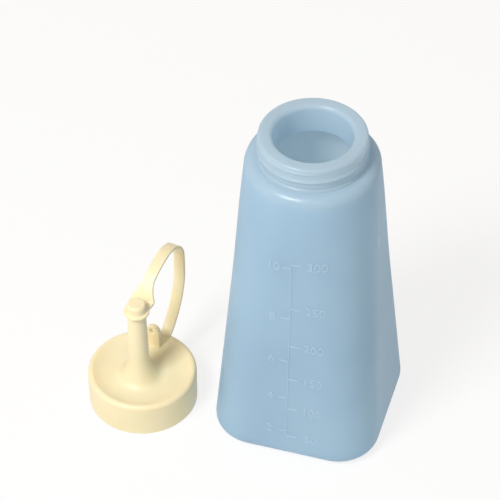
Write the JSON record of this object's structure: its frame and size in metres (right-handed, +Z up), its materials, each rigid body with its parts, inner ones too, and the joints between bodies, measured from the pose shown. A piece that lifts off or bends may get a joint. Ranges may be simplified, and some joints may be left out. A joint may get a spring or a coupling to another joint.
{
  "type": "squeeze bottle with tethered nozzle cap",
  "caption": "Tapered soft squeeze bottle with a wide threaded mouth, and its screw cap beside it: a dished cap with a pouring nozzle closed by a tethered stopper.",
  "frame": {"origin": "centre of the bottle's base, on the plane that the bottle and the cap stand on", "axes": "+Z up along the bottle's axis, -Y towards the face with the scale, +X to the right of someone who faces the scale; the cap stands on the -X side"},
  "size_m": [0.1163, 0.0699, 0.139],
  "materials": {
    "bottle_plastic": "milky blue translucent low-density polyethylene, blow-moulded, satin",
    "cap_plastic": "cream polyethylene, injection-moulded, satin",
    "seal_rubber": "soft pale silicone, matt"
  },
  "bodies": {
    "bottle": {"bottle": "bottle_plastic"},
    "cap": {"screw_cap": "cap_plastic", "sealing_ring": "seal_rubber", "tether_strap": "cap_plastic"},
    "stopper": {"stopper": "cap_plastic"}
  },
  "joints": [
    {"name": "cap_lift", "type": "slide", "parent": "bottle", "child": "cap", "axis": [0, 0, 1], "range_m": [0, 0.15]},
    {"name": "stopper_lift", "type": "hinge", "parent": "cap", "child": "stopper", "pos_m": [-0.05754, 0.01652, 0.0432], "axis": [-0.9871, 0.1599, 0], "range_deg": [0, 100], "deforming": ["tether_strap"]}
  ]
}
